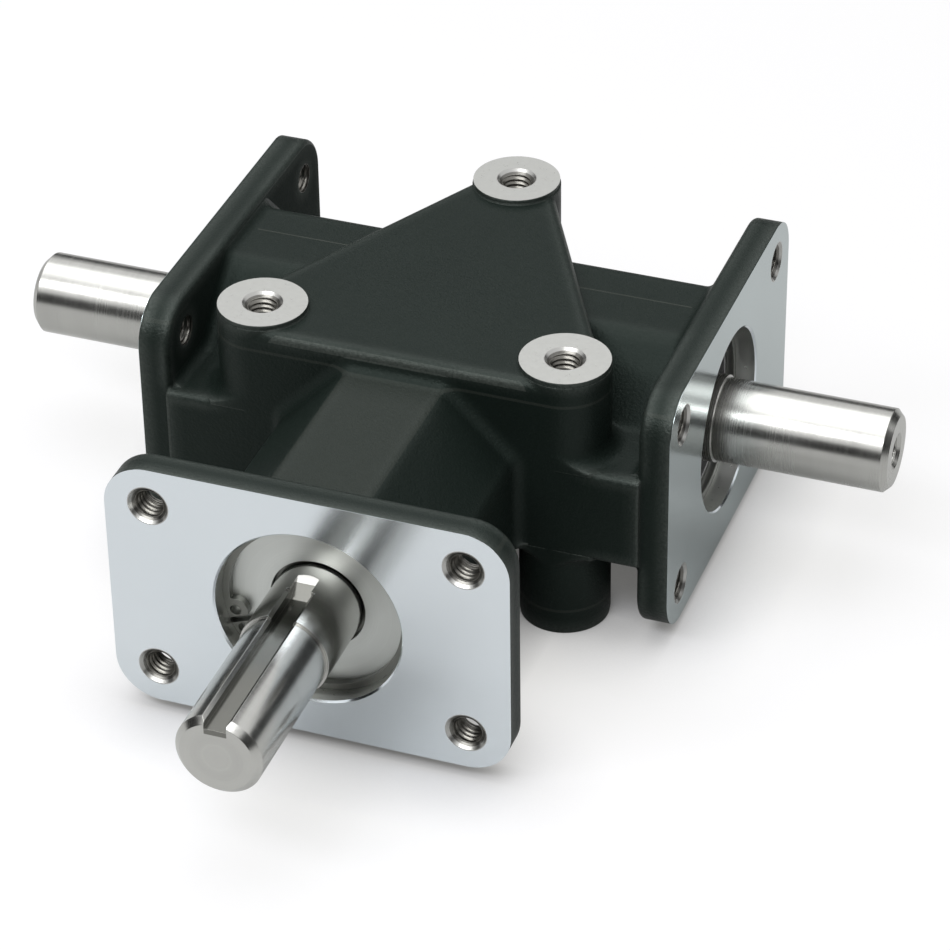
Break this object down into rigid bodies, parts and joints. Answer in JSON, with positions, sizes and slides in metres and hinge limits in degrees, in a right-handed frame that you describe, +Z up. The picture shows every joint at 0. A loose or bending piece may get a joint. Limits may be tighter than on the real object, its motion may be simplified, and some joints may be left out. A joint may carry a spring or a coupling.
{
  "type": "three way right angle gearbox",
  "caption": "Right angle gearbox with a keyed front shaft and a through cross shaft, rectangular flanges, mounting columns and mitre gears inside.",
  "frame": {"origin": "the point where the cross shaft's axis and the front shaft's axis meet, half way up the body", "axes": "+X out of the right shaft end, -Y out of the keyed front shaft, +Z up along the mounting columns"},
  "size_m": [0.206, 0.1935, 0.066],
  "materials": {
    "casting": "satin black paint on a die-cast aluminium body, machined faces bare",
    "shaft_steel": "ground steel",
    "gear_steel": "case-hardened steel",
    "ring_steel": "phosphated spring steel",
    "cover_steel": "pressed steel",
    "sleeve_steel": "turned steel",
    "bearing_steel": "ground bearing steel",
    "ball_steel": "polished",
    "cage_steel": "pressed steel",
    "seal_rubber": "moulded"
  },
  "bodies": {
    "housing_body": {"housing": "casting", "front_cover": "cover_steel", "left_retaining_ring": "ring_steel", "right_retaining_ring": "ring_steel", "right_inner_retaining_ring": "ring_steel", "front_retaining_ring": "ring_steel", "front_inner_retaining_ring": "ring_steel", "left_bearing_outer_ring": "bearing_steel", "left_bearing_outer_seal": "seal_rubber", "left_bearing_inner_seal": "seal_rubber", "right_bearing_outer_ring": "bearing_steel", "right_bearing_outer_seal": "seal_rubber", "right_bearing_inner_seal": "seal_rubber", "front_bearing_outer_ring": "bearing_steel", "front_bearing_outer_seal": "seal_rubber", "front_bearing_inner_seal": "seal_rubber", "neck_bearing_outer_ring": "bearing_steel", "neck_bearing_outer_seal": "seal_rubber", "neck_bearing_inner_seal": "seal_rubber"},
    "cross_shaft_body": {"cross_shaft": "shaft_steel", "cross_gear": "gear_steel", "cross_gear_pin": "ring_steel", "cross_long_sleeve": "sleeve_steel", "cross_short_sleeve": "sleeve_steel", "left_bearing_inner_ring": "bearing_steel", "right_bearing_inner_ring": "bearing_steel"},
    "front_shaft_body": {"front_shaft": "shaft_steel", "front_gear": "gear_steel", "front_gear_pin": "ring_steel", "front_short_sleeve": "sleeve_steel", "front_long_sleeve": "sleeve_steel", "front_bearing_inner_ring": "bearing_steel", "neck_bearing_inner_ring": "bearing_steel", "front_shaft_retaining_ring": "ring_steel"},
    "left_cage_body": {"left_bearing_balls": "ball_steel", "left_bearing_cage": "cage_steel"},
    "right_cage_body": {"right_bearing_balls": "ball_steel", "right_bearing_cage": "cage_steel"},
    "front_cage_body": {"front_bearing_balls": "ball_steel", "front_bearing_cage": "cage_steel"},
    "neck_cage_body": {"neck_bearing_balls": "ball_steel", "neck_bearing_cage": "cage_steel"}
  },
  "joints": [
    {"name": "cross_shaft_spin", "type": "hinge", "parent": "housing_body", "child": "cross_shaft_body", "pos_m": [0, 0, 0], "axis": [1, 0, 0], "continuous": true},
    {"name": "front_shaft_spin", "type": "hinge", "parent": "housing_body", "child": "front_shaft_body", "pos_m": [0, -0.044, 0], "axis": [0, -1, 0], "continuous": true},
    {"name": "left_cage_spin", "type": "hinge", "parent": "housing_body", "child": "left_cage_body", "pos_m": [-0.04885, 0, 0], "axis": [1, 0, 0], "continuous": true},
    {"name": "right_cage_spin", "type": "hinge", "parent": "housing_body", "child": "right_cage_body", "pos_m": [0.04885, 0, 0], "axis": [1, 0, 0], "continuous": true},
    {"name": "front_cage_spin", "type": "hinge", "parent": "housing_body", "child": "front_cage_body", "pos_m": [0, -0.08475, 0], "axis": [0, -1, 0], "continuous": true},
    {"name": "neck_cage_spin", "type": "hinge", "parent": "housing_body", "child": "neck_cage_body", "pos_m": [0, -0.044, 0], "axis": [0, -1, 0], "continuous": true}
  ],
  "couplings": [
    {"joint": "front_shaft_spin", "follows": "cross_shaft_spin", "ratio": -1},
    {"joint": "left_cage_spin", "follows": "cross_shaft_spin", "ratio": 0.39758},
    {"joint": "right_cage_spin", "follows": "cross_shaft_spin", "ratio": 0.39758},
    {"joint": "front_cage_spin", "follows": "cross_shaft_spin", "ratio": -0.39758},
    {"joint": "neck_cage_spin", "follows": "cross_shaft_spin", "ratio": -0.39758}
  ]
}
